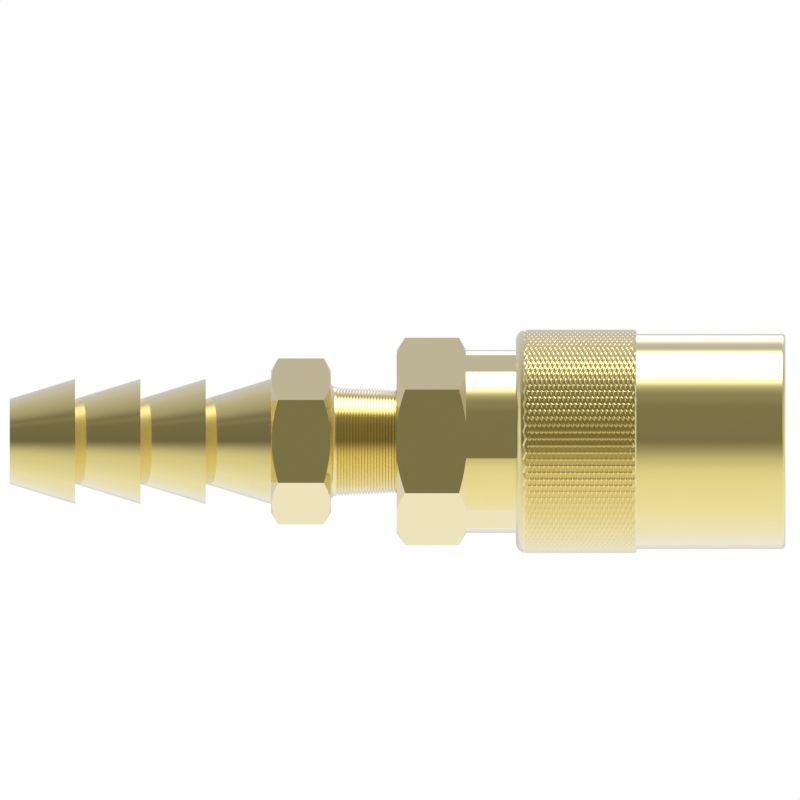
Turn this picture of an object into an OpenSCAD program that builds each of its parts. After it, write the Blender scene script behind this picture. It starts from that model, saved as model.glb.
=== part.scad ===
// Female quick coupling for compressed air or water, with a barbed hose stem.
// It stands on its mouth: +Z is the axis, z = 0 is the mouth face, the hose goes on at the top.

/* [Plug socket] */
// Diameter of the bore that guides the plug's collar
plug_d = 12.6; // [12.3:0.1:13.2]
// Depth of that bore, measured from the mouth
plug_guide_len = 4.6; // [4:0.1:5.5]
// Diameter of the narrower bore that the balls reach into
bead_d = 12.1; // [11.7:0.05:12.3]
// Diameter of the bore that takes the plug's nose
nose_d = 10; // [9.2:0.1:10.4]
// Lead-in chamfer at the mouth
mouth_chamfer = 0.6; // [0.3:0.1:1]

/* [Locking balls] */
// Diameter of a locking ball
ball_d = 4; // [3.8:0.05:4.2]
// Diameter of the circle that the balls leave free inside when locked
lock_d = 10.8; // [10.6:0.05:11.1]
// How far a ball clears the plug's bead when released
ball_spare = 0.25; // [0.1:0.05:0.35]
// Way that the sleeve slides back
sleeve_travel = 4.5; // [4:0.1:5]
// Web between a ball hole and the steps of the bore beside it
ball_web = 0.1; // [0.05:0.05:0.3]
// Taper of a ball hole's inner seat, radius per depth
ball_seat_taper = 0.45; // [0.4:0.01:0.5]

/* [Seals] */
// Length of the nose bore in front of the plug seal
seal_front_land = 1; // [0.8:0.1:1.5]
// Width of the plug seal's groove
gland_w = 2.4; // [2.1:0.1:2.6]
// Depth of the plug seal's groove
gland_h = 1.5; // [1.3:0.1:1.6]
// How far the plug seal stands into the nose bore
seal_squeeze = 0.28; // [0.2:0.02:0.35]
// Depth of the body seal's groove in the cage
body_groove_h = 1.2; // [1:0.1:1.3]
// Width of the body seal's groove
body_groove_w = 1.6; // [1.5:0.1:2]
// Distance from the neck's front end to the body seal's groove
body_groove_back = 1.1; // [0.8:0.1:1.5]

/* [Shut-off valve] */
// Length of the nose bore behind the plug seal
seal_back_land = 2.8; // [2.5:0.1:3.2]
// Radial width of the conical valve seat
seat_w = 1.6; // [1.4:0.1:1.8]
// Length of the valve chamber behind the seat
chamber_len = 14; // [13.5:0.25:15]
// Thickness of the poppet's seal ring
poppet_seal_d = 1.6; // [1.5:0.05:1.7]
// Gap from the plug seal's groove to the poppet's front
poppet_back = 1; // [0.8:0.1:1.2]
// Depth of the cross slots in the poppet's front
slot_depth = 1.5; // [1.2:0.1:1.6]
// Width of the cross slots
slot_w = 2.2; // [1.8:0.1:2.6]
// Gap between the poppet's front and the nose bore
front_gap = 0.3; // [0.2:0.05:0.4]
// Flow gap between the poppet's flange and the chamber wall
flange_gap = 1; // [0.8:0.05:1.1]
// Thickness of the poppet's rear flange
flange_t = 1.35; // [1.2:0.05:1.8]
// Diameter of the poppet's stem
valve_stem_d = 3; // [2.6:0.1:3.4]
// Length of the spigot that centres the valve spring
spigot_len = 1; // [0.6:0.1:1.5]
// Gap between that spigot and the spring
spigot_gap = 0.4; // [0.2:0.05:0.6]
// Thickness of the three-armed guide
guide_t = 1.9; // [1.6:0.1:2.4]
// Width of a guide arm
guide_arm_w = 1.6; // [1.4:0.1:2]
// Outer diameter of the guide's hub
guide_hub_d = 7.4; // [7.2:0.1:7.8]
// Radial width of the ledge that holds the guide
guide_ledge = 0.8; // [0.6:0.1:0.9]

/* [Springs] */
// Wire diameter of the valve spring
valve_wire_d = 0.6; // [0.5:0.05:0.7]
// Mean diameter of the valve spring
valve_spring_d = 6.2; // [6:0.1:6.4]
// Turns of the valve spring
valve_turns = 7; // [6:1:8]
// Turns of the sleeve spring
sleeve_turns = 6.5; // [5.5:0.5:7.5]
// Free width on each side of the sleeve spring's wire
spring_side_gap = 0.165; // [0.15:0.005:0.25]

/* [Retaining ring] */
// Length of the cage's lip in front of the ring
nose_lip = 1.15; // [1:0.05:1.4]
// Thickness of the ring
ring_t = 0.95; // [0.8:0.05:1.05]
// Depth of the ring's groove in the cage
ring_groove_h = 0.5; // [0.4:0.05:0.6]
// How far the sleeve's shoulder overlaps the ring
ring_hold = 0.4; // [0.3:0.05:0.5]
// Radial room between the ring and the sleeve's mouth
ring_room = 0.15; // [0.1:0.05:0.3]
// Opening between the ring's ends
ring_gap = 3; // [2.5:0.25:4]

/* [Release sleeve] */
// Length of the sleeve
sleeve_len = 30; // [29.5:0.1:31]
// Wall of the sleeve at the mouth
mouth_wall = 0.975; // [0.9:0.025:1.2]
// Height of the knurled band above the smooth front
knurl_step = 0.475; // [0.4:0.025:0.7]
// Length of the smooth front, up to the knurled band
sleeve_front_len = 16.6; // [15:0.1:18]
// Rounding of the rear edge
sleeve_rear_round = 1.2; // [0.9:0.05:1.3]
// Rounding of the front edge
sleeve_front_round = 0.45; // [0.3:0.05:0.6]
// Length of the sleeve's inner land behind the balls
land_len = 4.3; // [4:0.1:4.8]
// Radial width of the ledge that the sleeve spring presses on
spring_ledge = 0.82; // [0.75:0.01:0.9]
// How far the cage's waist starts in front of that ledge
waist_lead = 0.1; // [0.05:0.05:0.3]
// Step from the cage's ball stretch down to its waist
waist_step = 0.55; // [0.5:0.01:0.6]

/* [Rear body] */
// Width across the flats of the large hexagon
body_hex_af = 20; // [19.6:0.1:22]
// Length of the large hexagon
body_hex_len = 7.73; // [7:0.01:10]
// Neck that shows between the sleeve and the hexagon
neck_gap = 5.54; // [5.1:0.01:7]
// Length of the neck inside the sleeve at rest
neck_cover = 2.5; // [2.2:0.1:3]
// Length of the throat between the cage and the stem's thread
throat_len = 2.4; // [2:0.1:2.6]
// Diameter of the throat
throat_d = 10.2; // [9.6:0.1:10.4]
// Slope of the chamfers on both hexagons, in degrees
hex_chamfer_angle = 30; // [25:1:35]
// Steeper slope of the large hexagon's rear chamfer, in degrees
hex_rear_angle = 35; // [30:1:38]

/* [Hose stem] */
// Width across the flats of the small hexagon
stem_hex_af = 16; // [15.6:0.1:18]
// Length of the small hexagon
stem_hex_len = 6.67; // [6:0.01:9]
// Face circle of the small hexagon, as the chamfer leaves it
stem_face_d = 15.74; // [15:0.02:15.9]
// Diameter of the taper thread at its large end
thread_d = 12.1; // [11.6:0.05:12.6]
// How much the thread's diameter shrinks over each millimetre
thread_taper = 0.0875; // [0.06:0.0005:0.1]
// Length of thread that shows between the hexagons
thread_gap = 6.89; // [5:0.01:8]
// Length of the conical collar between thread and hexagon
collar_len = 0.42; // [0.3:0.02:0.8]
// Diameter of the collar where it meets the hexagon
collar_d = 13.02; // [12.8:0.02:13.6]
// Bore through the stem
stem_bore_d = 7; // [6.4:0.1:7.2]
// Number of hose barbs
barb_count = 4; // [3:1:5]
// Length of one barb
barb_pitch = 7.27; // [6.5:0.01:8]
// Diameter at the small end of a barb
barb_small_d = 9.46; // [9.2:0.02:10]
// Diameter at the large end of a barb
barb_large_d = 13.92; // [13:0.02:14.4]

/* [Clearances] */
// Radial running clearance between pieces that slide in each other
run_clear = 0.05; // [0.03:0.01:0.08]
// Clearance between a ball and the sleeve's ramp
ball_clear = 0.05; // [0.03:0.01:0.08]
// Gap between pieces that seat on each other
seat_clear = 0.05; // [0.03:0.01:0.08]
// Gap between a rubber ring and its groove
seal_clear = 0.02; // [0.01:0.005:0.04]

/* [Hidden] */
$fn = 96;
// There is one ball to each of the eight ball nodes
ball_count = 8;
guide_arms = 3;
// How far a cutting shape runs past the face that it cuts
past = 1;
// Segments of a rounded edge's quarter circle
round_steps = 8;
// Small edge breaks
edge = 0.4;
fine_edge = 0.2;
// Sides of a spring wire, rings to a turn of it, and play between its closed end turns
wire_sides = 6;
turn_steps = 20;
turn_play = 0.05;
closed_turns = 1;
brass = [0.80, 0.69, 0.36];
steel = [0.72, 0.73, 0.75];
rubber = [0.12, 0.12, 0.13];

// Balls and the ramp that drives them: the ramp's slope is the balls' way over the sleeve's
ball_r = ball_d / 2;
hole_r = ball_r + run_clear;
ball_circle_r = lock_d / 2 + ball_r;
ball_travel = (bead_d - lock_d) / 2 + ball_spare;
ramp = ball_travel / sleeve_travel;
ramp_angle = atan(ramp);
plug_step = (plug_d - bead_d) / 2;
ball_z = plug_guide_len + plug_step + ball_web + hole_r;
land_z = ball_z + (ball_r + ball_clear) * sin(ramp_angle);
land_r = ball_circle_r + (ball_r + ball_clear) * cos(ramp_angle);

// Cage, front to rear
cage_r = land_r - run_clear;
waist_r = cage_r - waist_step;
nose_r = nose_d / 2;
bead_end_z = ball_z + hole_r + ball_web;
nose_z = bead_end_z + bead_d / 2 - nose_r;
gland_z = nose_z + seal_front_land;
gland_r = nose_r + gland_h;
plug_seal_r = (gland_h + seal_squeeze - seal_clear) / 2;
seat_z = gland_z + gland_w + seal_back_land;
chamber_r = nose_r + seat_w;
ledge_z = seat_z + seat_w + chamber_len;
ledge_r = chamber_r + guide_ledge;
cage_end_z = ledge_z + guide_t + seat_clear;

// Retaining ring and the sleeve's front
ring_z = nose_lip + seat_clear;
shoulder_z = ring_z + ring_t + seat_clear;
ring_groove_r = cage_r - ring_groove_h;
ring_in_r = ring_groove_r + seat_clear;
ring_out_r = land_r + ramp * (land_z - shoulder_z) + ring_hold;
mouth_r = ring_out_r + ring_room;
sleeve_front_r = mouth_r + mouth_wall;
knurl_r = sleeve_front_r + knurl_step;
ledge_front_z = land_z + land_len;
sleeve_bore_r = land_r + spring_ledge;
// The walls limit the two roundings
rear_round_r = min(sleeve_rear_round, knurl_r - sleeve_bore_r - 2 * edge);
front_round_r = min(sleeve_front_round, mouth_wall - 2 * fine_edge);
waist_z = ledge_front_z - waist_lead;

// Rear body
neck_r = sleeve_bore_r - run_clear;
neck_z = sleeve_len - neck_cover;
hex_z = sleeve_len + neck_gap;
hex_end_z = hex_z + body_hex_len;
hex_past_r = hex_corner_r(body_hex_af) + past;
hex_rise = (hex_past_r - neck_r) * tan(hex_chamfer_angle);
hex_rear_rise = (hex_past_r - neck_r) * tan(hex_rear_angle);
socket_r = waist_r + run_clear;
socket_end_z = cage_end_z + seat_clear;
throat_end_z = socket_end_z + throat_len;
body_groove_z = neck_z + body_groove_back;
body_groove_r = waist_r - body_groove_h;

// Hose stem
stem_end_z = throat_end_z + seat_clear;
collar_z = hex_end_z + thread_gap;
stem_hex_z = collar_z + collar_len;
barb_z = stem_hex_z + stem_hex_len;
tip_z = barb_z + barb_count * barb_pitch;

// Poppet, its seal and its guide
poppet_z = gland_z + gland_w + poppet_back;
seal_minor_r = poppet_seal_d / 2;
seal_major_r = nose_r + seat_w / 2 - seal_minor_r - seal_clear;
seal_z = seat_z + seal_major_r - nose_r + (seal_minor_r + seal_clear) * sqrt(2);
poppet_groove_r = seal_major_r - seal_minor_r - seal_clear;
flange_z = seal_z + seal_minor_r + seal_clear;
flange_end_z = flange_z + flange_t;
front_r = nose_r - front_gap;
front_end_z = seal_z - seal_minor_r - seal_clear;
flange_r = chamber_r - flange_gap;
valve_stem_r = valve_stem_d / 2;
guide_z = ledge_z + seat_clear / 2;
spigot_r = (valve_spring_d - valve_wire_d) / 2 - spigot_gap;
valve_tip_z = guide_z + guide_t;

function thread_r(z) = (thread_d - thread_taper * (collar_z - z)) / 2;
// Ramp in the sleeve that the balls follow as the sleeve slides
function ramp_r(z) = land_r + ramp * (land_z - z);
function ball_turn(i) = 360 * (i - 1) / ball_count;
function hex_corner_r(af) = af / 2 / cos(30);
function arc(x, z, r, from, to) =
    [for (i = [0:round_steps]) let (a = from + (to - from) * i / round_steps)
        [x + r * cos(a), z + r * sin(a)]];

module hex_bar(af, z, len)
    translate([0, 0, z]) cylinder(r = hex_corner_r(af), h = len, $fn = 6);

// Hexagon whose two ends are turned down to a face circle at the chamfer's slope
module turned_hex(af, z, len, face_r) {
    past_r = hex_corner_r(af) + past;
    rise = (past_r - face_r) * tan(hex_chamfer_angle);
    intersection() {
        hex_bar(af, z, len);
        rotate_extrude() polygon([[0, z], [face_r, z], [past_r, z + rise],
            [past_r, z + len - rise], [face_r, z + len], [0, z + len]]);
    }
}

module round_ring(major_r, minor_r, z)
    translate([0, 0, z]) rotate_extrude() translate([major_r, 0]) circle(r = minor_r);

// Height of a coil's wire centre after t turns: closed turns at both ends, open ones between
function coil_z(t, turns, wire_d, low, high) =
    let (lift = closed_turns * (wire_d + turn_play), first = low + wire_d / 2,
        last = high - wire_d / 2, open = turns - 2 * closed_turns)
    t < closed_turns ? first + lift * t / closed_turns
    : t > turns - closed_turns ? last - lift * (turns - t) / closed_turns
    : first + lift + (last - first - 2 * lift) * (t - closed_turns) / open;

module coil(wire_d, mean_d, turns, low, high) {
    rings = round(turns * turn_steps);
    points = [for (i = [0:rings]) let (t = turns * i / rings, z = coil_z(t, turns, wire_d, low, high))
        for (k = [0:wire_sides - 1]) let (a = 90 + 360 * k / wire_sides,
            r = mean_d / 2 + wire_d / 2 * cos(a))
            [r * cos(360 * t), r * sin(360 * t), z + wire_d / 2 * sin(a)]];
    sides = [for (i = [0:rings - 1]) for (k = [0:wire_sides - 1])
        let (a = i * wire_sides + k, b = i * wire_sides + (k + 1) % wire_sides)
            [a, a + wire_sides, b + wire_sides, b]];
    start_cap = [[for (k = [0:wire_sides - 1]) k]];
    end_cap = [[for (k = [wire_sides - 1:-1:0]) rings * wire_sides + k]];
    polyhedron(points, concat(sides, start_cap, end_cap));
}

module hose_stem() color(brass) difference() {
    union() {
        rotate_extrude() polygon([[0, stem_end_z], [thread_r(stem_end_z) - edge, stem_end_z],
            [thread_r(stem_end_z + edge), stem_end_z + edge], [thread_r(collar_z), collar_z],
            [collar_d / 2, stem_hex_z], [collar_d / 2, stem_hex_z + past], [0, stem_hex_z + past]]);
        turned_hex(stem_hex_af, stem_hex_z, stem_hex_len, stem_face_d / 2);
        rotate_extrude() polygon(concat([[0, barb_z - past], [barb_large_d / 2, barb_z - past]],
            [for (i = [0:barb_count - 1]) for (end = [0, 1])
                [(end == 0 ? barb_large_d : barb_small_d) / 2, barb_z + (i + end) * barb_pitch]],
            [[0, tip_z]]));
    }
    translate([0, 0, stem_end_z - past]) cylinder(d = stem_bore_d, h = tip_z - stem_end_z + 2 * past);
}

module rear_body() color(brass) difference() {
    intersection() {
        hex_bar(body_hex_af, neck_z, hex_end_z - neck_z);
        rotate_extrude() polygon([[0, neck_z], [neck_r - edge, neck_z], [neck_r, neck_z + edge],
            [neck_r, hex_z], [hex_past_r, hex_z + hex_rise],
            [hex_past_r, hex_end_z - hex_rear_rise], [neck_r, hex_end_z], [0, hex_end_z]]);
    }
    rotate_extrude() polygon([[0, neck_z - past], [socket_r, neck_z - past],
        [socket_r, socket_end_z], [throat_d / 2, socket_end_z], [throat_d / 2, throat_end_z],
        [thread_r(throat_end_z) + seat_clear, throat_end_z],
        [thread_r(hex_end_z) + seat_clear, hex_end_z - fine_edge],
        [thread_r(hex_end_z) + seat_clear + fine_edge, hex_end_z],
        [thread_r(hex_end_z) + seat_clear + fine_edge, hex_end_z + past], [0, hex_end_z + past]]);
}

// Hole for one ball: straight outside, tapered to a seat that keeps the ball from falling in
module ball_hole() {
    straight_r = ball_circle_r - ball_r / 5;
    taper_len = straight_r - lock_d / 2;
    translate([straight_r, 0, ball_z]) rotate([0, 90, 0]) cylinder(r = hole_r, h = ball_r + past);
    translate([lock_d / 2, 0, ball_z]) rotate([0, 90, 0])
        cylinder(r1 = hole_r - ball_seat_taper * taper_len, r2 = hole_r, h = taper_len);
}

module ball_cage() color(brass) difference() {
    rotate_extrude() polygon([[0, 0], [cage_r - edge, 0], [cage_r, edge], [cage_r, nose_lip],
        [ring_groove_r, nose_lip], [ring_groove_r, shoulder_z], [cage_r, shoulder_z],
        [cage_r, waist_z], [waist_r, waist_z], [waist_r, body_groove_z],
        [body_groove_r, body_groove_z], [body_groove_r, body_groove_z + body_groove_w],
        [waist_r, body_groove_z + body_groove_w], [waist_r, cage_end_z - edge],
        [waist_r - edge, cage_end_z], [0, cage_end_z]]);
    rotate_extrude() polygon([[0, -past], [plug_d / 2 + mouth_chamfer, -past],
        [plug_d / 2 + mouth_chamfer, 0], [plug_d / 2, mouth_chamfer], [plug_d / 2, plug_guide_len],
        [bead_d / 2, plug_guide_len + plug_step], [bead_d / 2, bead_end_z], [nose_r, nose_z],
        [nose_r, gland_z], [gland_r, gland_z], [gland_r, gland_z + gland_w],
        [nose_r, gland_z + gland_w], [nose_r, seat_z], [chamber_r, seat_z + seat_w],
        [chamber_r, ledge_z], [ledge_r, ledge_z], [ledge_r, cage_end_z + past],
        [0, cage_end_z + past]]);
    for (i = [1:ball_count]) rotate([0, 0, ball_turn(i)]) ball_hole();
}

module release_sleeve() color(brass) rotate_extrude() polygon(concat(
    [[mouth_r + fine_edge, 0]],
    arc(sleeve_front_r - front_round_r, front_round_r, front_round_r, -90, 0),
    [[sleeve_front_r, sleeve_front_len], [knurl_r - fine_edge, sleeve_front_len],
        [knurl_r, sleeve_front_len + fine_edge]],
    arc(knurl_r - rear_round_r, sleeve_len - rear_round_r, rear_round_r, 0, 90),
    [[sleeve_bore_r + edge, sleeve_len], [sleeve_bore_r, sleeve_len - edge],
        [sleeve_bore_r, ledge_front_z], [land_r, ledge_front_z], [land_r, land_z],
        [ramp_r(shoulder_z), shoulder_z], [mouth_r, shoulder_z], [mouth_r, fine_edge]]));

// Split ring, its opening turned away from the balls
module retaining_ring() color(steel) {
    half_gap = asin(ring_gap / 2 / ring_out_r);
    rotate([0, 0, half_gap + ball_turn(3)]) rotate_extrude(angle = 360 - 2 * half_gap)
        translate([ring_in_r, ring_z]) square([ring_out_r - ring_in_r, ring_t]);
}

module sleeve_spring() color(steel)
    coil(sleeve_bore_r - waist_r - 2 * spring_side_gap, sleeve_bore_r + waist_r, sleeve_turns,
        ledge_front_z + seat_clear, neck_z - seat_clear);

module plug_seal() color(rubber)
    round_ring(gland_r - seal_clear - plug_seal_r, plug_seal_r, gland_z + gland_w / 2);

module body_seal() color(rubber)
    round_ring((socket_r + body_groove_r) / 2, (socket_r - body_groove_r) / 2 - seal_clear,
        body_groove_z + body_groove_w / 2);

module poppet_seal() color(rubber) round_ring(seal_major_r, seal_minor_r, seal_z);

// Cross slots let the flow past the plug's nose, which pushes on the four lands between them
module valve_poppet() color(brass) difference() {
    rotate_extrude() polygon([[0, poppet_z], [front_r - edge, poppet_z],
        [front_r, poppet_z + edge], [front_r, front_end_z], [poppet_groove_r, front_end_z],
        [poppet_groove_r, flange_z], [flange_r, flange_z], [flange_r, flange_end_z],
        [spigot_r, flange_end_z], [spigot_r, flange_end_z + spigot_len],
        [valve_stem_r, flange_end_z + spigot_len], [valve_stem_r, valve_tip_z - edge],
        [valve_stem_r - edge, valve_tip_z], [0, valve_tip_z]]);
    for (turn = [0, 90]) rotate([0, 0, turn]) translate([-nose_r, -slot_w / 2, poppet_z - past])
        cube([nose_d, slot_w, slot_depth + past]);
}

module valve_spring() color(steel)
    coil(valve_wire_d, valve_spring_d, valve_turns, flange_end_z + seal_clear, guide_z - seal_clear);

module valve_guide() color(brass) translate([0, 0, guide_z]) linear_extrude(guide_t) difference() {
    union() {
        circle(d = guide_hub_d);
        difference() {
            circle(r = ledge_r - run_clear);
            circle(r = chamber_r);
        }
        for (i = [1:guide_arms]) rotate(360 * i / guide_arms)
            translate([0, -guide_arm_w / 2]) square([(chamber_r + ledge_r) / 2, guide_arm_w]);
    }
    circle(r = valve_stem_r + run_clear);
}

module locking_ball(i) color(steel)
    rotate([0, 0, ball_turn(i)]) translate([ball_circle_r, 0, ball_z]) sphere(r = ball_r);

hose_stem();
rear_body();
ball_cage();
release_sleeve();
retaining_ring();
sleeve_spring();
plug_seal();
valve_poppet();
poppet_seal();
valve_spring();
valve_guide();
body_seal();
locking_ball(1);  // locking_ball_1
locking_ball(2);  // locking_ball_2
locking_ball(3);  // locking_ball_3
locking_ball(4);  // locking_ball_4
locking_ball(5);  // locking_ball_5
locking_ball(6);  // locking_ball_6
locking_ball(7);  // locking_ball_7
locking_ball(8);  // locking_ball_8
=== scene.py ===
import bpy
import math
from mathutils import Matrix


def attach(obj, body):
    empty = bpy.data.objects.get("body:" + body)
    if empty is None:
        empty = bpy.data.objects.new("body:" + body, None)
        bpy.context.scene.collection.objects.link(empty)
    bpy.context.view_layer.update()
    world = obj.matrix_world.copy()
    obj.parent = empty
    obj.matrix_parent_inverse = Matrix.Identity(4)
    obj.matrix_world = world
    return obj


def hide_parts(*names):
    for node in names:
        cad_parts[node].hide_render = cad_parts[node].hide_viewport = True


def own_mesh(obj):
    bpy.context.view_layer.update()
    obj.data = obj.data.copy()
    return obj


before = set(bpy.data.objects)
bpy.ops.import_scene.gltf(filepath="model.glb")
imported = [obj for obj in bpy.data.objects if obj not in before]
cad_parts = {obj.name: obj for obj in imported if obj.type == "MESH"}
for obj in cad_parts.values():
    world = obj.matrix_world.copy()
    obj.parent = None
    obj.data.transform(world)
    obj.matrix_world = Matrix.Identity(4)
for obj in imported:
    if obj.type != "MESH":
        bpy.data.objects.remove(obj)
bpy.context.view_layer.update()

mm = 0.001
mergeReach = 0.0005 * mm
fullTurn = 2 * math.pi
fullDegrees = 360
# Edges that turn by more than this stay sharp; the lathe's own steps turn by less
sharpEdge = math.radians(8)


# A shader output that takes part in Python expressions
class Wire:
    def __init__(self, tree, socket):
        self.tree = tree
        self.socket = socket

    def math(self, operation, first, second=None):
        node = self.tree.nodes.new("ShaderNodeMath")
        node.operation = operation
        for place, item in enumerate((first, second)):
            if isinstance(item, Wire):
                self.tree.links.new(item.socket, node.inputs[place])
            elif item is not None:
                node.inputs[place].default_value = item
        return Wire(self.tree, node.outputs[0])

    def __add__(self, other):
        return self.math("ADD", self, other)

    def __radd__(self, other):
        return self.math("ADD", other, self)

    def __sub__(self, other):
        return self.math("SUBTRACT", self, other)

    def __rsub__(self, other):
        return self.math("SUBTRACT", other, self)

    def __mul__(self, other):
        return self.math("MULTIPLY", self, other)

    def __rmul__(self, other):
        return self.math("MULTIPLY", other, self)

    def __truediv__(self, other):
        return self.math("DIVIDE", self, other)

    def __pow__(self, other):
        return self.math("POWER", self, other)


# One shader tree; every node but the maths comes from add, which returns the chosen output
class Shader:
    def __init__(self, owner):
        owner.use_nodes = True
        self.tree = owner.node_tree
        self.tree.nodes.clear()

    def add(self, kind, settings=None, inputs=None, output=0):
        node = self.tree.nodes.new(kind)
        for name, value in (settings or {}).items():
            setattr(node, name, value)
        if kind == "ShaderNodeValToRGB":
            self.setStops(node.color_ramp, inputs.pop("stops"))
        for name, value in (inputs or {}).items():
            if isinstance(value, Wire):
                self.tree.links.new(value.socket, node.inputs[name])
            else:
                node.inputs[name].default_value = value
        return Wire(self.tree, node.outputs[output]) if node.outputs else None

    def setStops(self, band, stops):
        while len(band.elements) < len(stops):
            band.elements.new(1.0)
        for element, (place, level) in zip(band.elements, stops):
            element.position = place
            element.color = (level, level, level, 1)

    # Colour mix; the Mix node's colour sockets have these places
    def blend(self, factor, first, second):
        factorPlace, firstPlace, secondPlace, resultPlace = 0, 6, 7, 2
        return self.add("ShaderNodeMix", {"data_type": "RGBA"},
                        {factorPlace: factor, firstPlace: first, secondPlace: second}, resultPlace)


# White to the camera, and a studio round the part for its reflections; heights in the room are
# the Z share of the way there, -1 straight down and 1 straight up
studio = {
    # Brightness of the room by azimuth round Z, in degrees from the photograph's camera
    "room": [(-180, 0.6), (-165, 0.7), (-145, 0.9), (-94, 0.94), (-45, 0.88), (-31, 0.8),
             (-20, 0.61), (-9, 0.36), (0, 0.21), (12, 0.22), (30, 0.225), (38, 0.225), (47, 0.285),
             (56, 0.24), (72, 0.43), (90, 0.5), (120, 0.6), (180, 0.62)],
    # Each lit panel: azimuth, half its width, softness of its edge, brightness, lower and upper end
    "panels": [(91, 34.5, 8, 0.52, -0.4, 0.06), (89.5, 15.5, 15, 5.6, -0.39, 0.06),
               (147, 12.5, 6, 1.25, -0.3, 0.06), (30, 40, 25, 0.55, -0.85, -0.47)],
    "panelEndSoftness": 0.045,
    # How much the room darkens towards the zenith, all round and on the camera's side
    "shadeUpwards": 0.12,
    "shadeFront": 0.26,
    "overhead": 0.8,
    "overheadFrom": 0.8,
}
world = bpy.data.worlds.new("studioWorld")
bpy.context.scene.world = world
sky = Shader(world)
direction = sky.add("ShaderNodeTexCoord", output="Generated")
skyX = sky.add("ShaderNodeSeparateXYZ", inputs={"Vector": direction}, output="X")
skyY = sky.add("ShaderNodeSeparateXYZ", inputs={"Vector": direction}, output="Y")
skyZ = sky.add("ShaderNodeSeparateXYZ", inputs={"Vector": direction}, output="Z")
azimuth = skyX.math("ARCTAN2", skyX, skyY * -1) * (fullDegrees / fullTurn)


# 0 at the first value and 1 at the second, with a soft start and end
def fade(value, start, end):
    return sky.add("ShaderNodeMapRange", {"interpolation_type": "SMOOTHSTEP"},
                   {"Value": value, "From Min": start, "From Max": end})


stops = [((angle + fullDegrees / 2) / fullDegrees, level) for angle, level in studio["room"]]
seen = sky.add("ShaderNodeValToRGB", inputs={"stops": stops, "Fac": azimuth / fullDegrees + 0.5})
upwards = skyZ.math("MAXIMUM", skyZ, 0.0)
frontward = skyY.math("MAXIMUM", skyY * -1, 0.0)
seen = seen * (1 - upwards * (frontward * studio["shadeFront"] + studio["shadeUpwards"]))
endSoftness = studio["panelEndSoftness"]
for centre, halfWidth, softness, level, bottom, top in studio["panels"]:
    away = skyX.math("ABSOLUTE", azimuth - centre)
    across = 1 - fade(away, halfWidth - softness, halfWidth + softness)
    aboveBottom = fade(skyZ, bottom - endSoftness, bottom + endSoftness)
    belowTop = 1 - fade(skyZ, top - endSoftness, top + endSoftness)
    seen = seen + (level - seen) * across * aboveBottom * belowTop
cap = fade(skyZ.math("ABSOLUTE", skyZ), studio["overheadFrom"], 1.0)
seen = seen + (studio["overhead"] - seen) * cap
isCamera = sky.add("ShaderNodeLightPath", output="Is Camera Ray")
strength = isCamera + (1 - isCamera) * seen
shine = sky.add("ShaderNodeBackground", inputs={"Color": (1, 1, 1, 1), "Strength": strength})
sky.add("ShaderNodeOutputWorld", inputs={"Surface": shine})
print("studio done")


# Brass that pales towards grazing angles, with faint unevenness
brassLook = {
    "face": (0.90, 0.76, 0.28, 1),
    "faceWorn": (0.88, 0.74, 0.27, 1),
    "rim": (0.98, 0.97, 0.95, 1),
    "rimPower": 1.4,
    "roughness": 0.07,
    "roughnessSpread": 0.03,
    # Faces square to the axis are rougher; the power keeps this off cones and chamfers
    "endFaceRoughness": 0.42,
    "endFacePower": 200,
    "patchScale": 160,
    "grainScale": 2500,
    "grainHeight": 0.0004 * mm,
    "grainStrength": 0.05,
}


# Patches and fine grain, which every finish has
def unevenness(paint, look):
    place = paint.add("ShaderNodeTexCoord", output="Object")
    patch = paint.add("ShaderNodeTexNoise", inputs={"Vector": place, "Scale": look["patchScale"]})
    grain = paint.add("ShaderNodeTexNoise", inputs={"Vector": place, "Scale": look["grainScale"]})
    bump = paint.add("ShaderNodeBump", inputs={"Strength": look["grainStrength"],
                     "Distance": look["grainHeight"], "Height": grain}, output="Normal")
    return patch, bump


def metalPaint(name, look):
    material = bpy.data.materials.new(name)
    paint = Shader(material)
    patch, bump = unevenness(paint, look)
    square = paint.add("ShaderNodeTexCoord", output="Normal")
    squareZ = paint.add("ShaderNodeSeparateXYZ", inputs={"Vector": square}, output="Z")
    endFace = squareZ.math("ABSOLUTE", squareZ) ** look["endFacePower"]
    roughness = patch * look["roughnessSpread"] + look["roughness"]
    roughness = roughness + endFace * look["endFaceRoughness"]
    colour = paint.blend(patch, look["face"], look["faceWorn"])
    front = paint.add("ShaderNodeBsdfPrincipled", inputs={"Base Color": colour, "Metallic": 1.0,
                      "Roughness": roughness, "Normal": bump})
    edge = paint.add("ShaderNodeBsdfPrincipled", inputs={"Base Color": look["rim"], "Metallic": 1.0,
                     "Roughness": roughness, "Normal": bump})
    facing = paint.add("ShaderNodeLayerWeight", inputs={"Blend": 0.5}, output="Facing")
    mixed = paint.add("ShaderNodeMixShader", inputs={0: facing ** look["rimPower"], 1: front, 2: edge})
    paint.add("ShaderNodeOutputMaterial", inputs={"Surface": mixed})
    return material


brass = metalPaint("brass", brassLook)

springSteelLook = {
    "face": (0.50, 0.51, 0.53, 1),
    "faceWorn": (0.42, 0.43, 0.45, 1),
    "rim": (0.9, 0.9, 0.92, 1),
    "rimPower": 3,
    "roughness": 0.22,
    "roughnessSpread": 0.12,
    "endFaceRoughness": 0.1,
    "endFacePower": 200,
    "patchScale": 260,
    "grainScale": 3000,
    "grainHeight": 0.002 * mm,
    "grainStrength": 0.2,
}
springSteel = metalPaint("springSteel", springSteelLook)

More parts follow.
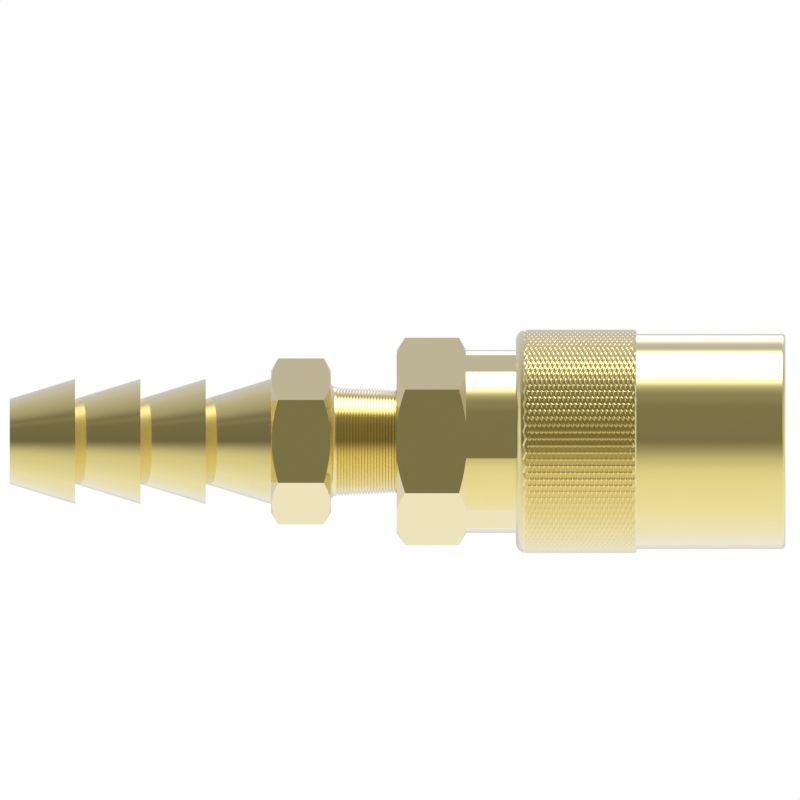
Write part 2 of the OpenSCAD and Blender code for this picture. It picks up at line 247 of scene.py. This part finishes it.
polishedSteelLook = {
    "face": (0.66, 0.67, 0.69, 1),
    "faceWorn": (0.60, 0.61, 0.63, 1),
    "rim": (0.95, 0.95, 0.96, 1),
    "rimPower": 4,
    "roughness": 0.06,
    "roughnessSpread": 0.04,
    "endFaceRoughness": 0.0,
    "endFacePower": 200,
    "patchScale": 300,
    "grainScale": 3000,
    "grainHeight": 0.0005 * mm,
    "grainStrength": 0.1,
}
polishedSteel = metalPaint("polishedSteel", polishedSteelLook)

rubberLook = {
    "dark": (0.018, 0.018, 0.019, 1),
    "dusty": (0.045, 0.045, 0.046, 1),
    "roughness": 0.5,
    "roughnessSpread": 0.2,
    "patchScale": 500,
    "grainScale": 4000,
    "grainHeight": 0.01 * mm,
    "grainStrength": 0.4,
}


def rubberPaint(name, look):
    material = bpy.data.materials.new(name)
    paint = Shader(material)
    patch, bump = unevenness(paint, look)
    roughness = patch * look["roughnessSpread"] + look["roughness"]
    colour = paint.blend(patch, look["dark"], look["dusty"])
    body = paint.add("ShaderNodeBsdfPrincipled", inputs={"Base Color": colour,
                     "Roughness": roughness, "Normal": bump})
    paint.add("ShaderNodeOutputMaterial", inputs={"Surface": body})
    return material


sealRubber = rubberPaint("sealRubber", rubberLook)
print("materials done")


def activate(piece):
    bpy.ops.object.select_all(action="DESELECT")
    piece.select_set(True)
    bpy.context.view_layer.objects.active = piece


# Makes the primitive just added a named piece with its place in its vertices
def adopt(name):
    piece = bpy.context.object
    piece.name = name
    piece.data.name = name
    bpy.ops.object.transform_apply(location=True, rotation=True, scale=True)
    return piece


# Lathe work: the outline's corners (radius, height in mm) are extruded one by one and spun round Z
def turned(name, outline, steps, sweep=fullTurn):
    corners = outline + outline[:1] if outline[0][0] > 0 else outline
    radius, z = corners[0]
    bpy.ops.mesh.primitive_plane_add(size=mm, location=(radius * mm, 0, z * mm))
    piece = adopt(name)
    bpy.ops.object.mode_set(mode="EDIT")
    bpy.ops.mesh.select_mode(type="VERT")
    bpy.ops.mesh.select_all(action="SELECT")
    bpy.ops.mesh.merge(type="CENTER")
    for (radius, z), (nextRadius, nextZ) in zip(corners, corners[1:]):
        step = ((nextRadius - radius) * mm, 0, (nextZ - z) * mm)
        bpy.ops.mesh.extrude_region_move(TRANSFORM_OT_translate={"value": step})
    bpy.ops.mesh.select_all(action="SELECT")
    bpy.ops.mesh.spin(steps=steps, angle=sweep, center=(0, 0, 0), axis=(0, 0, 1))
    bpy.ops.mesh.select_all(action="SELECT")
    bpy.ops.mesh.remove_doubles(threshold=mergeReach)
    if sweep < fullTurn:
        bpy.ops.mesh.fill_holes(sides=0)
    bpy.ops.mesh.normals_make_consistent(inside=False)
    bpy.ops.object.mode_set(mode="OBJECT")
    return piece


hexSides = 6
# From the middle of a flat to the corner beside it, in degrees
cornerTurn = fullDegrees / hexSides / 2


# Mills six flats, two of them square to Y
def millFlats(piece, acrossFlats):
    activate(piece)
    bpy.ops.object.mode_set(mode="EDIT")
    for side in range(hexSides):
        angle = math.radians(cornerTurn + 2 * cornerTurn * side)
        outward = (math.cos(angle), math.sin(angle), 0)
        onFlat = [acrossFlats / 2 * mm * part for part in outward]
        bpy.ops.mesh.select_all(action="SELECT")
        bpy.ops.mesh.bisect(plane_co=onFlat, plane_no=outward, use_fill=True, clear_outer=True,
                            threshold=mergeReach)
    bpy.ops.mesh.select_all(action="SELECT")
    bpy.ops.mesh.remove_doubles(threshold=mergeReach)
    bpy.ops.mesh.normals_make_consistent(inside=False)
    bpy.ops.object.mode_set(mode="OBJECT")


# Joins the tool to the piece or cuts it out, and removes it
def combine(piece, tool, operation):
    activate(piece)
    modifier = piece.modifiers.new("combine", "BOOLEAN")
    modifier.object = tool
    modifier.operation = operation
    modifier.solver = "EXACT"
    bpy.ops.object.modifier_apply(modifier=modifier.name)
    bpy.data.objects.remove(tool)


# Smooth shading, the material, and the body that the piece belongs to; the CAD node it stands in for
# is hidden
def finishPiece(piece, node, body, material):
    activate(piece)
    bpy.ops.object.shade_smooth_by_angle(angle=sharpEdge)
    piece.data.materials.clear()
    piece.data.materials.append(material)
    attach(piece, body)
    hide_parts(node)


# Outline corners on an arc; its angles are in degrees, 0 outwards and 90 upwards
def roundCorner(centreRadius, centreZ, radius, start, end):
    steps = 15
    turns = [math.radians(start + (end - start) * i / steps) for i in range(steps + 1)]
    return [(centreRadius + radius * math.cos(a), centreZ + radius * math.sin(a)) for a in turns]


# Radius at a hexagon's corners
def hexCorner(acrossFlats):
    return acrossFlats / 2 / math.cos(math.radians(cornerTurn))


# How far a lathe blank stands past the hexagon's corners before the flats are milled
blankSpare = 0.05

stem = {
    "frontZ": 36.45,
    "bore": 3.5,
    "threadEndRadius": 6.05,
    "threadTaper": 0.04375,
    "threadFrontEdge": 0.4,
    "threadEndZ": 50.16,
    "threadPitch": 0.333,
    "crestFlat": 0.06,
    "flankAngle": 60,
    # A narrow slit at each root keeps the grooves darker than the crests
    "slitWidth": 0.02,
    "slitDepth": 0.045,
    "collarRadius": 6.51,
    # Hollow rounding between the thread and the collar's face, with its start and end angles
    "hollow": 0.7,
    "hollowStart": 160,
    "hollowEnd": 110,
    "hexZ": 50.58,
    "hexEndZ": 57.25,
    "hexFlats": 16,
    "hexFaceRadius": 7.87,
    "chamferSlope": 30,
    "barbs": 4,
    "barbPitch": 7.27,
    "barbSmall": 4.73,
    "barbLarge": 6.96,
    "steps": 120,
}


def threadRadius(z):
    return stem["threadEndRadius"] - stem["threadTaper"] * (stem["threadEndZ"] - z)


threadStart = stem["frontZ"] + stem["threadFrontEdge"]
ridges = round((stem["threadEndZ"] - threadStart) / stem["threadPitch"])
ridgePitch = (stem["threadEndZ"] - threadStart) / ridges
flankLength = (ridgePitch - stem["crestFlat"] - stem["slitWidth"]) / 2
threadDepth = flankLength * math.tan(math.radians(stem["flankAngle"]))
outline = [(stem["bore"], stem["frontZ"]),
           (threadRadius(threadStart) - threadDepth - stem["threadFrontEdge"], stem["frontZ"])]
for ridge in range(ridges):
    rootZ = threadStart + ridge * ridgePitch
    flankZ = rootZ + stem["slitWidth"] / 2
    crestZ = flankZ + flankLength
    rootRadius = threadRadius(rootZ) - threadDepth
    outline += [(rootRadius - stem["slitDepth"], rootZ), (rootRadius, flankZ),
                (threadRadius(crestZ), crestZ),
                (threadRadius(crestZ + stem["crestFlat"]), crestZ + stem["crestFlat"]),
                (rootRadius, rootZ + ridgePitch - stem["slitWidth"] / 2)]
outline.pop()  # the last ridge runs straight into the hollow
blank = hexCorner(stem["hexFlats"]) + blankSpare
rise = (blank - stem["hexFaceRadius"]) * math.tan(math.radians(stem["chamferSlope"]))
hollowStart = math.radians(stem["hollowStart"])
outline += roundCorner(stem["threadEndRadius"] - stem["hollow"] * math.cos(hollowStart),
                       stem["threadEndZ"] - stem["hollow"] * math.sin(hollowStart),
                       stem["hollow"], stem["hollowStart"], stem["hollowEnd"])
outline += [(stem["collarRadius"], stem["hexZ"]), (stem["hexFaceRadius"], stem["hexZ"]),
            (blank, stem["hexZ"] + rise), (blank, stem["hexEndZ"] - rise),
            (stem["hexFaceRadius"], stem["hexEndZ"])]
for barb in range(stem["barbs"]):
    barbZ = stem["hexEndZ"] + barb * stem["barbPitch"]
    outline += [(stem["barbLarge"], barbZ), (stem["barbSmall"], barbZ + stem["barbPitch"])]
outline += [(stem["bore"], stem["hexEndZ"] + stem["barbs"] * stem["barbPitch"])]
hoseStem = turned("hoseStem", outline, stem["steps"])
millFlats(hoseStem, stem["hexFlats"])
finishPiece(hoseStem, "hose_stem", "coupler_body", brass)
print("hose stem done")

rear = {
    "neckZ": 27.5,
    "neckRadius": 10.18,
    "edge": 0.4,
    "hexZ": 35.54,
    "hexEndZ": 43.27,
    "hexFlats": 20,
    "frontSlope": 30,
    "rearSlope": 35,
    "threadMouth": 5.81,
    "threadMouthEdge": 0.05,
    "throatEndZ": 36.4,
    "threadThroat": 5.498,
    "throat": 5.1,
    "socketEndZ": 34.0,
    "socket": 8.86,
    "steps": 120,
}
blank = hexCorner(rear["hexFlats"]) + blankSpare
frontRise = (blank - rear["neckRadius"]) * math.tan(math.radians(rear["frontSlope"]))
rearRise = (blank - rear["neckRadius"]) * math.tan(math.radians(rear["rearSlope"]))
outline = [(rear["socket"], rear["neckZ"]), (rear["neckRadius"] - rear["edge"], rear["neckZ"]),
           (rear["neckRadius"], rear["neckZ"] + rear["edge"]), (rear["neckRadius"], rear["hexZ"]),
           (blank, rear["hexZ"] + frontRise), (blank, rear["hexEndZ"] - rearRise),
           (rear["neckRadius"], rear["hexEndZ"]), (rear["threadMouth"], rear["hexEndZ"]),
           (rear["threadMouth"] - rear["threadMouthEdge"], rear["hexEndZ"] - rear["threadMouthEdge"]),
           (rear["threadThroat"], rear["throatEndZ"]), (rear["throat"], rear["throatEndZ"]),
           (rear["throat"], rear["socketEndZ"]), (rear["socket"], rear["socketEndZ"])]
rearBody = turned("rearBody", outline, rear["steps"])
millFlats(rearBody, rear["hexFlats"])
finishPiece(rearBody, "rear_body", "coupler_body", brass)
print("rear body done")

sleeve = {
    "length": 30,
    "mouth": 11.001,
    "mouthEdge": 0.2,
    "front": 11.976,
    "frontRound": 0.45,
    "stepZ": 16.6,
    "knurlStartZ": 16.74,
    "knurlEndZ": 29,
    "knurlRows": 46,
    "knurlColumns": 100,
    "knurlTurn": 1.43,  # round Z, in degrees, to lie as the photograph shows it
    "knurlTop": 12.45,
    # Height of a whole knurl pyramid, and the share of it that the flat top takes off
    "pyramid": 0.265,
    "flatShare": 0.28,
    # The last row, on the rear rounding, is this much as deep
    "lastRowShare": 0.8,
    "rearRound": 1.2,
    "rearRoundFrom": 23,  # degrees, behind the knurl's last row
    "bore": 10.23,
    "boreEdge": 0.4,
    "ledgeZ": 11.702,
    "land": 9.41,
    "landZ": 7.402,
    "rampEnd": 10.451,
    "shoulderZ": 2.2,
}
rowStep = (sleeve["knurlEndZ"] - sleeve["knurlStartZ"]) / sleeve["knurlRows"]
apex = sleeve["knurlTop"] + sleeve["pyramid"] * sleeve["flatShare"]
root = apex - sleeve["pyramid"]
rearRoundZ = sleeve["length"] - sleeve["rearRound"]


# Radius of the knurl's whole pyramids, which fade where they reach the rear rounding
def pyramidRadius(z):
    past = z - rearRoundZ
    if past < 0:
        return apex
    return sleeve["knurlTop"] - sleeve["rearRound"] + math.sqrt(sleeve["rearRound"] ** 2 - past ** 2)


outline = [(sleeve["mouth"] + sleeve["mouthEdge"], 0)]
outline += roundCorner(sleeve["front"] - sleeve["frontRound"], sleeve["frontRound"],
                       sleeve["frontRound"], -90, 0)
outline += [(sleeve["front"], sleeve["stepZ"]), (root, sleeve["stepZ"])]
for row in range(sleeve["knurlRows"] + 1):
    rowZ = sleeve["knurlStartZ"] + row * rowStep
    outline.append((pyramidRadius(rowZ), rowZ))
outline += roundCorner(sleeve["knurlTop"] - sleeve["rearRound"], rearRoundZ,
                       sleeve["rearRound"], sleeve["rearRoundFrom"], 90)
outline += [(sleeve["bore"] + sleeve["boreEdge"], sleeve["length"]),
            (sleeve["bore"], sleeve["length"] - sleeve["boreEdge"]),
            (sleeve["bore"], sleeve["ledgeZ"]), (sleeve["land"], sleeve["ledgeZ"]),
            (sleeve["land"], sleeve["landZ"]), (sleeve["rampEnd"], sleeve["shoulderZ"]),
            (sleeve["mouth"], sleeve["shoulderZ"]), (sleeve["mouth"], sleeve["mouthEdge"])]
releaseSleeve = turned("releaseSleeve", outline, sleeve["knurlColumns"])
# How far a corner may lie from its row, in rows
onRowReach = 0.05


# Selects every second corner of the knurl's grid, the pyramids' tops or the low corners between
def selectKnurl(parity, rows):
    bpy.ops.object.mode_set(mode="EDIT")
    bpy.ops.mesh.select_mode(type="VERT")
    bpy.ops.mesh.select_all(action="DESELECT")
    bpy.ops.object.mode_set(mode="OBJECT")
    columnAngle = fullTurn / sleeve["knurlColumns"]
    for vertex in releaseSleeve.data.vertices:
        x, y, z = vertex.co
        height = (z / mm - sleeve["knurlStartZ"]) / rowStep
        row = round(height)
        column = round(math.atan2(y, x) / columnAngle)
        onRow = abs(height - row) < onRowReach and row in rows
        outside = math.hypot(x, y) / mm > sleeve["front"]
        vertex.select = onRow and outside and (row + column) % 2 == parity
    bpy.ops.object.mode_set(mode="EDIT")


# Low corners go in, the quads split along the grooves between them, and the tops are cut flat
activate(releaseSleeve)
lowCorners, topCorners = 0, 1
wholeRows = range(sleeve["knurlRows"])
lastRow = range(sleeve["knurlRows"], sleeve["knurlRows"] + 1)
for rows, share in ((wholeRows, 1), (lastRow, sleeve["lastRowShare"])):
    sink = 1 - sleeve["pyramid"] * share / apex
    selectKnurl(lowCorners, rows)
    bpy.ops.transform.resize(value=(sink, sink, 1), center_override=(0, 0, 0))
bpy.ops.mesh.select_all(action="DESELECT")
bpy.ops.mesh.select_mode(type="FACE")
bpy.ops.object.mode_set(mode="OBJECT")
for polygon in releaseSleeve.data.polygons:
    x, y, z = polygon.center
    outside = math.hypot(x, y) / mm > sleeve["front"]
    polygon.select = outside and sleeve["knurlStartZ"] < z / mm < sleeve["knurlEndZ"] + rowStep
bpy.ops.object.mode_set(mode="EDIT")
bpy.ops.mesh.quads_convert_to_tris(quad_method="SHORTEST_DIAGONAL")
selectKnurl(topCorners, range(sleeve["knurlRows"] + 1))
bpy.ops.mesh.bevel(offset_type="PERCENT", offset_pct=100 * sleeve["flatShare"], affect="VERTICES")
bpy.ops.object.mode_set(mode="OBJECT")
releaseSleeve.rotation_euler.z = math.radians(sleeve["knurlTurn"])
bpy.ops.object.transform_apply(rotation=True)
finishPiece(releaseSleeve, "release_sleeve", "sleeve", brass)
print("release sleeve done")


# Coil: a round wire section spun and lifted step by step; its end turns lie closed
def coil(name, spring):
    closedRise = spring["wire"] + spring["play"]
    first = spring["low"] + spring["wire"] / 2
    last = spring["high"] - spring["wire"] / 2
    openTurns = spring["turns"] - 2

    def wireZ(turn):
        if turn < 1:
            return first + closedRise * turn
        if turn > spring["turns"] - 1:
            return last - closedRise * (spring["turns"] - turn)
        return first + closedRise + (last - first - 2 * closedRise) * (turn - 1) / openTurns

    bpy.ops.mesh.primitive_circle_add(vertices=spring["sides"], radius=spring["wire"] / 2 * mm,
                                      fill_type="NGON", location=(spring["mean"] * mm, 0, first * mm),
                                      rotation=(math.pi / 2, 0, 0))
    piece = adopt(name)
    bpy.ops.object.mode_set(mode="EDIT")
    bpy.ops.mesh.select_mode(type="FACE")
    bpy.ops.mesh.select_all(action="SELECT")
    steps = round(spring["turns"] * spring["stepsPerTurn"])
    for step in range(steps):
        lift = wireZ((step + 1) / spring["stepsPerTurn"]) - wireZ(step / spring["stepsPerTurn"])
        bpy.ops.mesh.spin(steps=1, angle=fullTurn / spring["stepsPerTurn"],
                          center=(0, 0, 0), axis=(0, 0, 1))
        bpy.ops.transform.translate(value=(0, 0, lift * mm))
    bpy.ops.mesh.select_mode(type="VERT")
    bpy.ops.mesh.select_all(action="SELECT")
    bpy.ops.mesh.normals_make_consistent(inside=False)
    bpy.ops.object.mode_set(mode="OBJECT")
    return piece


sleeveSpringSizes = {
    "wire": 1.09,
    "mean": 9.52,
    "turns": 6.5,
    "low": 11.752,
    "high": 27.45,
    "play": 0.05,
    "travel": 4.5,
    "sides": 12,
    "stepsPerTurn": 48,
}
sleeveSpring = coil("sleeveSpring", sleeveSpringSizes)
finishPiece(sleeveSpring, "sleeve_spring", "coupler_body", springSteel)
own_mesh(sleeveSpring)

valveSpringSizes = {
    "wire": 0.6,
    "mean": 3.1,
    "turns": 7,
    "low": 19.73,
    "high": 32.005,
    "play": 0.05,
    "travel": 4,
    "sides": 12,
    "stepsPerTurn": 36,
}
valveSpring = coil("valveSpring", valveSpringSizes)
finishPiece(valveSpring, "valve_spring", "coupler_body", springSteel)
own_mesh(valveSpring)
print("springs done")


# A copy with its own mesh, turned round Z
def copyTurned(piece, name, angle):
    other = piece.copy()
    other.data = piece.data.copy()
    other.name = name
    other.data.name = name
    bpy.context.scene.collection.objects.link(other)
    activate(other)
    other.rotation_euler = (0, 0, angle)
    bpy.ops.object.transform_apply(rotation=True)
    return other


cage = {
    "edge": 0.4,
    "outside": 9.36,
    "ringGroove": 8.86,
    "ringGrooveZ": 1.15,
    "ringGrooveEndZ": 2.2,
    "waist": 8.81,
    "waistZ": 11.602,
    "sealGroove": 7.61,
    "sealGrooveZ": 28.6,
    "sealGrooveEndZ": 30.2,
    "endZ": 33.95,
    "ledge": 7.4,
    "ledgeZ": 32.0,
    "chamber": 6.6,
    "seatWideZ": 18.0,
    "nose": 5.0,
    "seatZ": 16.4,
    "gland": 6.5,
    "glandZ": 11.2,
    "glandEndZ": 13.6,
    "noseZ": 10.2,
    "seat": 6.05,
    "seatFrontZ": 9.15,
    "plug": 6.3,
    "plugEndZ": 4.6,
    "plugTaperEndZ": 4.85,
    "mouthEdge": 0.6,
    "steps": 120,
    "balls": 8,
    "ballZ": 7.0,
    "ballCircle": 7.4,
    "ball": 2.0,
    "ballCuts": 11,  # along each edge of the cube that becomes a ball
    # Each ball's hole: straight outside, a cone inside that keeps the ball from falling in
    "hole": 2.05,
    "coneFrom": 5.4,
    "coneSmall": 1.33,
    "straightFrom": 7.0,
    "holeTop": 10.5,
    "holeSides": 48,
}
outline = [(cage["plug"] + cage["mouthEdge"], 0), (cage["outside"] - cage["edge"], 0),
           (cage["outside"], cage["edge"]), (cage["outside"], cage["ringGrooveZ"]),
           (cage["ringGroove"], cage["ringGrooveZ"]), (cage["ringGroove"], cage["ringGrooveEndZ"]),
           (cage["outside"], cage["ringGrooveEndZ"]), (cage["outside"], cage["waistZ"]),
           (cage["waist"], cage["waistZ"]), (cage["waist"], cage["sealGrooveZ"]),
           (cage["sealGroove"], cage["sealGrooveZ"]), (cage["sealGroove"], cage["sealGrooveEndZ"]),
           (cage["waist"], cage["sealGrooveEndZ"]), (cage["waist"], cage["endZ"] - cage["edge"]),
           (cage["waist"] - cage["edge"], cage["endZ"]), (cage["ledge"], cage["endZ"]),
           (cage["ledge"], cage["ledgeZ"]), (cage["chamber"], cage["ledgeZ"]),
           (cage["chamber"], cage["seatWideZ"]), (cage["nose"], cage["seatZ"]),
           (cage["nose"], cage["glandEndZ"]), (cage["gland"], cage["glandEndZ"]),
           (cage["gland"], cage["glandZ"]), (cage["nose"], cage["glandZ"]),
           (cage["nose"], cage["noseZ"]), (cage["seat"], cage["seatFrontZ"]),
           (cage["seat"], cage["plugTaperEndZ"]), (cage["plug"], cage["plugEndZ"]),
           (cage["plug"], cage["mouthEdge"])]
ballCage = turned("ballCage", outline, cage["steps"])
drillOutline = [(0, cage["coneFrom"]), (cage["coneSmall"], cage["coneFrom"]),
                (cage["hole"], cage["straightFrom"]), (cage["hole"], cage["holeTop"]),
                (0, cage["holeTop"])]
drill = turned("drill", drillOutline, cage["holeSides"])
drill.rotation_euler = (0, math.pi / 2, 0)
bpy.ops.object.transform_apply(rotation=True)
drill.location = (0, 0, cage["ballZ"] * mm)
bpy.ops.object.transform_apply(location=True)
ballTurn = fullTurn / cage["balls"]
for ball in range(cage["balls"]):
    combine(ballCage, copyTurned(drill, "drillCopy", ball * ballTurn), "DIFFERENCE")
bpy.data.objects.remove(drill)
finishPiece(ballCage, "ball_cage", "coupler_body", brass)
print("ball cage done")

# A ball is a divided cube cast onto a sphere
bpy.ops.mesh.primitive_cube_add(size=cage["ball"] * mm)
lockingBall = adopt("lockingBall1")
bpy.ops.object.mode_set(mode="EDIT")
bpy.ops.mesh.select_all(action="SELECT")
bpy.ops.mesh.subdivide(number_cuts=cage["ballCuts"])
bpy.ops.object.mode_set(mode="OBJECT")
cast = lockingBall.modifiers.new("round", "CAST")
cast.cast_type = "SPHERE"
cast.factor = 1.0
cast.size = cage["ball"] * mm
bpy.ops.object.modifier_apply(modifier=cast.name)
lockingBall.location = (cage["ballCircle"] * mm, 0, cage["ballZ"] * mm)
bpy.ops.object.transform_apply(location=True)
for ball in range(2, cage["balls"] + 1):
    ballCopy = copyTurned(lockingBall, f"lockingBall{ball}", (ball - 1) * ballTurn)
    finishPiece(ballCopy, f"locking_ball_{ball}", f"ball_{ball}", polishedSteel)
finishPiece(lockingBall, "locking_ball_1", "ball_1", polishedSteel)
print("balls done")

snapRing = {
    "inside": 8.91,
    "outside": 10.851,
    "frontZ": 1.2,
    "endZ": 2.15,
    "edge": 0.12,
    "gap": 3.0,
    "gapTurn": 90,
    "steps": 120,
}


# A plain turned ring with broken edges
def collar(name, inside, outside, sizes, sweep=fullTurn):
    near, far, small = sizes["frontZ"], sizes["endZ"], sizes["edge"]
    outline = [(inside + small, near), (outside - small, near), (outside, near + small),
               (outside, far - small), (outside - small, far), (inside + small, far),
               (inside, far - small), (inside, near + small)]
    return turned(name, outline, sizes["steps"], sweep)


halfGap = math.asin(snapRing["gap"] / 2 / snapRing["outside"])
retainingRing = collar("retainingRing", snapRing["inside"], snapRing["outside"], snapRing,
                       fullTurn - 2 * halfGap)
retainingRing.rotation_euler.z = math.radians(snapRing["gapTurn"]) + halfGap
bpy.ops.object.transform_apply(rotation=True)
finishPiece(retainingRing, "retaining_ring", "ring", springSteel)
print("retaining ring done")

poppet = {
    "frontZ": 14.6,
    "front": 4.7,
    "edge": 0.4,
    "grooveZ": 16.72,
    "groove": 4.16,
    "grooveEndZ": 18.36,
    "flange": 5.6,
    "flangeEndZ": 19.71,
    "spigot": 2.4,
    "spigotEndZ": 20.71,
    "rod": 1.5,
    "endZ": 33.925,
    # Cross slots in the front, and the cutter that reaches past both sides
    "slotWidth": 2.2,
    "slotDepth": 1.5,
    "cutterLength": 14.1,
    "smallEdge": 0.1,
    "steps": 96,
}
small = poppet["smallEdge"]
outline = [(0, poppet["frontZ"]), (poppet["front"] - poppet["edge"], poppet["frontZ"]),
           (poppet["front"], poppet["frontZ"] + poppet["edge"]),
           (poppet["front"], poppet["grooveZ"] - small),
           (poppet["front"] - small, poppet["grooveZ"]), (poppet["groove"], poppet["grooveZ"]),
           (poppet["groove"], poppet["grooveEndZ"]), (poppet["flange"] - small, poppet["grooveEndZ"]),
           (poppet["flange"], poppet["grooveEndZ"] + small),
           (poppet["flange"], poppet["flangeEndZ"] - small),
           (poppet["flange"] - small, poppet["flangeEndZ"]), (poppet["spigot"], poppet["flangeEndZ"]),
           (poppet["spigot"], poppet["spigotEndZ"] - small),
           (poppet["spigot"] - small, poppet["spigotEndZ"]), (poppet["rod"], poppet["spigotEndZ"]),
           (poppet["rod"], poppet["endZ"] - poppet["edge"]),
           (poppet["rod"] - poppet["edge"], poppet["endZ"]), (0, poppet["endZ"])]
valvePoppet = turned("valvePoppet", outline, poppet["steps"])
for angle in (0, math.pi / 2):
    bpy.ops.mesh.primitive_cube_add(size=mm, rotation=(0, 0, angle),
                                    location=(0, 0, poppet["frontZ"] * mm),
                                    scale=(poppet["cutterLength"], poppet["slotWidth"],
                                           2 * poppet["slotDepth"]))
    combine(valvePoppet, adopt("slotCutter"), "DIFFERENCE")
finishPiece(valvePoppet, "valve_poppet", "valve", brass)
print("valve poppet done")

guide = {
    "frontZ": 32.025,
    "endZ": 33.925,
    "outside": 7.35,
    "window": 6.6,
    "hub": 3.7,
    "bore": 1.55,
    "armWidth": 1.6,
    "arms": 3,
    "edge": 0.12,
    "steps": 96,
}
valveGuide = collar("valveGuide", guide["window"], guide["outside"], guide)
combine(valveGuide, collar("hub", guide["bore"], guide["hub"], guide), "UNION")
# Each arm runs from the middle of the hub's wall to the middle of the rim's
armLength = (guide["window"] + guide["outside"] - guide["hub"] - guide["bore"]) / 2
armMiddle = (guide["window"] + guide["outside"] + guide["hub"] + guide["bore"]) / 4
middleZ = (guide["frontZ"] + guide["endZ"]) / 2
for arm in range(guide["arms"]):
    angle = fullTurn / guide["arms"] * arm
    bpy.ops.mesh.primitive_cube_add(size=mm, rotation=(0, 0, angle),
                                    location=(armMiddle * math.cos(angle) * mm,
                                              armMiddle * math.sin(angle) * mm, middleZ * mm),
                                    scale=(armLength, guide["armWidth"],
                                           guide["endZ"] - guide["frontZ"] - guide["edge"]))
    combine(valveGuide, adopt("arm"), "UNION")
finishPiece(valveGuide, "valve_guide", "coupler_body", brass)
print("valve guide done")

# Rubber rings: distance of the section's centre from Z, radius of the section, height
seals = {
    "plugSeal": ("plug_seal", "coupler_body", 5.6, 0.88, 12.4),
    "poppetSeal": ("poppet_seal", "valve", 4.98, 0.8, 17.54),
    "bodySeal": ("body_seal", "coupler_body", 8.235, 0.605, 29.4),
}
sealSides, sealSteps = 28, 120
turns = [fullTurn * side / sealSides for side in range(sealSides)]
for name, (node, body, major, minor, z) in seals.items():
    section = [(major + minor * math.cos(a), z + minor * math.sin(a)) for a in turns]
    finishPiece(turned(name, section, sealSteps), node, body, sealRubber)
print("seals done")

photo = {
    "scale": 0.1113,
    "pixels": 800,
    "centreZ": 42.895,
    "centreX": 4.608,
    "distance": 500,
}
camera = bpy.data.objects.new("camera", bpy.data.cameras.new("camera"))
bpy.context.scene.collection.objects.link(camera)
bpy.context.scene.camera = camera
camera.data.type = "ORTHO"
camera.data.ortho_scale = photo["scale"] * photo["pixels"] * mm
# Image right is -Z, image up is +X, and it looks along +Y
imageAxes = Matrix(((0, 1, 0), (0, 0, -1), (-1, 0, 0)))
camera.rotation_euler = imageAxes.to_euler()
camera.location = (photo["centreX"] * mm, -photo["distance"] * mm, photo["centreZ"] * mm)

floorLook = {
    "radius": 600,
    "sides": 96,
    # Just under the part, so that the two don't share a plane
    "drop": 0.02,
    "colour": (0.86, 0.86, 0.85, 1),
    "lampStrength": 1.15,
    "lampTilt": (28, -22),
    "lampSoftness": 25,
}
bpy.ops.mesh.primitive_circle_add(vertices=floorLook["sides"], radius=floorLook["radius"] * mm,
                                  fill_type="NGON", location=(0, 0, -floorLook["drop"] * mm))
floor = adopt("floor")
floorPaint = bpy.data.materials.new("floorPaint")
floor.data.materials.append(floorPaint)
# Matt to the eye, clear to reflections and their light, and from below, to look into the mouth
ground = Shader(floorPaint)
matt = ground.add("ShaderNodeBsdfDiffuse", inputs={"Color": floorLook["colour"]})
clear = ground.add("ShaderNodeBsdfTransparent")
isGlossy = ground.add("ShaderNodeLightPath", output="Is Glossy Ray")
isShadow = ground.add("ShaderNodeLightPath", output="Is Shadow Ray")
fromBelow = ground.add("ShaderNodeNewGeometry", output="Backfacing")
forMetal = isGlossy.math("MAXIMUM", isGlossy, isShadow)
seeThrough = forMetal.math("MAXIMUM", forMetal, fromBelow)
mixed = ground.add("ShaderNodeMixShader", inputs={0: seeThrough, 1: matt, 2: clear})
ground.add("ShaderNodeOutputMaterial", inputs={"Surface": mixed})

# A soft lamp for the floor and the rubber; metal does not mirror it
lamp = bpy.data.objects.new("softLamp", bpy.data.lights.new("softLamp", "SUN"))
bpy.context.scene.collection.objects.link(lamp)
lamp.data.energy = floorLook["lampStrength"]
lamp.data.angle = math.radians(floorLook["lampSoftness"])
lampTilt = [math.radians(tilt) for tilt in floorLook["lampTilt"]]
lamp.rotation_euler = (lampTilt[0], lampTilt[1], 0)
lamp.visible_glossy = False

scene = bpy.context.scene
scene.view_settings.view_transform = "Standard"
print("scene done")
